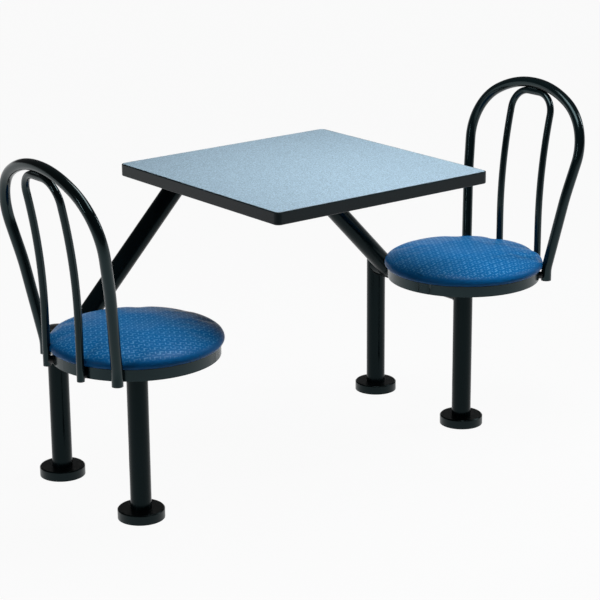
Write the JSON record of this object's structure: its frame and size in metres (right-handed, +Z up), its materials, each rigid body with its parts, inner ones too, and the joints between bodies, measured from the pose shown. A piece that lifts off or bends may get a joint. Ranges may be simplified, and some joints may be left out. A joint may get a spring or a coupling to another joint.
{
  "type": "table with attached swivel seats",
  "caption": "Square laminate table on sloping tube arms that rise from floor posts carrying round swivel seats with bent-tube backs.",
  "frame": {"origin": "on the floor, at the centre of the whole part's footprint", "axes": "+X from the left seat to the right seat, +Y from the table's front edge to the rear posts, +Z up"},
  "size_m": [1.466, 0.673, 0.8639],
  "materials": {
    "laminate": "fine-speckled high-pressure laminate, suede finish",
    "core_board": "raw particle board",
    "backer": "phenolic backer sheet",
    "edge_vinyl": "black T-moulding, fine leather grain",
    "frame_paint": "black semi-gloss powder coat",
    "rail_paint": "black powder coat",
    "cap_plastic": "moulded black plastic",
    "flange_paint": "black powder coat",
    "cover_paint": "black semi-gloss powder coat",
    "housing_steel": "turned steel",
    "bush_nylon": "natural nylon",
    "washer_brass": "turned",
    "spindle_steel": "ground shaft",
    "clip_steel": "phosphated spring steel",
    "spider_paint": "black powder coat",
    "plywood": "birch plywood",
    "zinc_screw": "bright zinc",
    "ring_paint": "black powder coat on a rolled band",
    "seat_vinyl": "blue embossed vinyl upholstery",
    "back_paint": "black semi-gloss powder coat",
    "spacer_plastic": "moulded black plastic",
    "black_bolt": "black button-head bolt",
    "plug_plastic": "moulded black plastic"
  },
  "bodies": {
    "frame": {"table_core": "core_board", "table_laminate": "laminate", "table_backer": "backer", "table_edge_band": "edge_vinyl", "table_screws": "zinc_screw", "left_table_rail": "rail_paint", "left_arm": "frame_paint", "left_stretcher": "frame_paint", "left_stretcher_cap": "cap_plastic", "left_rear_post": "frame_paint", "left_seat_post": "frame_paint", "left_seat_flange": "flange_paint", "left_rear_flange": "flange_paint", "left_seat_cover": "cover_paint", "left_rear_cover": "cover_paint", "left_swivel_housing": "housing_steel", "left_upper_bush": "bush_nylon", "left_lower_bush": "bush_nylon", "left_thrust_washer": "washer_brass", "right_table_rail": "rail_paint", "right_arm": "frame_paint", "right_stretcher": "frame_paint", "right_stretcher_cap": "cap_plastic", "right_rear_post": "frame_paint", "right_seat_post": "frame_paint", "right_seat_flange": "flange_paint", "right_rear_flange": "flange_paint", "right_seat_cover": "cover_paint", "right_rear_cover": "cover_paint", "right_swivel_housing": "housing_steel", "right_upper_bush": "bush_nylon", "right_lower_bush": "bush_nylon", "right_thrust_washer": "washer_brass"},
    "left_seat": {"left_spindle": "spindle_steel", "left_spindle_clip": "clip_steel", "left_seat_spider": "spider_paint", "left_seat_board": "plywood", "left_seat_screws": "zinc_screw", "left_seat_ring": "ring_paint", "left_ring_joiner": "ring_paint", "left_seat_pad": "seat_vinyl", "left_back_outer": "back_paint", "left_back_inner": "back_paint", "left_leg_spacers": "spacer_plastic", "left_leg_bolts": "black_bolt", "left_leg_plugs": "plug_plastic"},
    "right_seat": {"right_spindle": "spindle_steel", "right_spindle_clip": "clip_steel", "right_seat_spider": "spider_paint", "right_seat_board": "plywood", "right_seat_screws": "zinc_screw", "right_seat_ring": "ring_paint", "right_ring_joiner": "ring_paint", "right_seat_pad": "seat_vinyl", "right_back_outer": "back_paint", "right_back_inner": "back_paint", "right_leg_spacers": "spacer_plastic", "right_leg_bolts": "black_bolt", "right_leg_plugs": "plug_plastic"}
  },
  "joints": [
    {"name": "left_seat_swivel", "type": "hinge", "parent": "frame", "child": "left_seat", "pos_m": [-0.49, -0.0568, 0.4], "axis": [0, 0, 1], "range_deg": [-75, 75]},
    {"name": "right_seat_swivel", "type": "hinge", "parent": "frame", "child": "right_seat", "pos_m": [0.49, -0.0568, 0.4], "axis": [0, 0, 1], "range_deg": [-75, 75]}
  ]
}
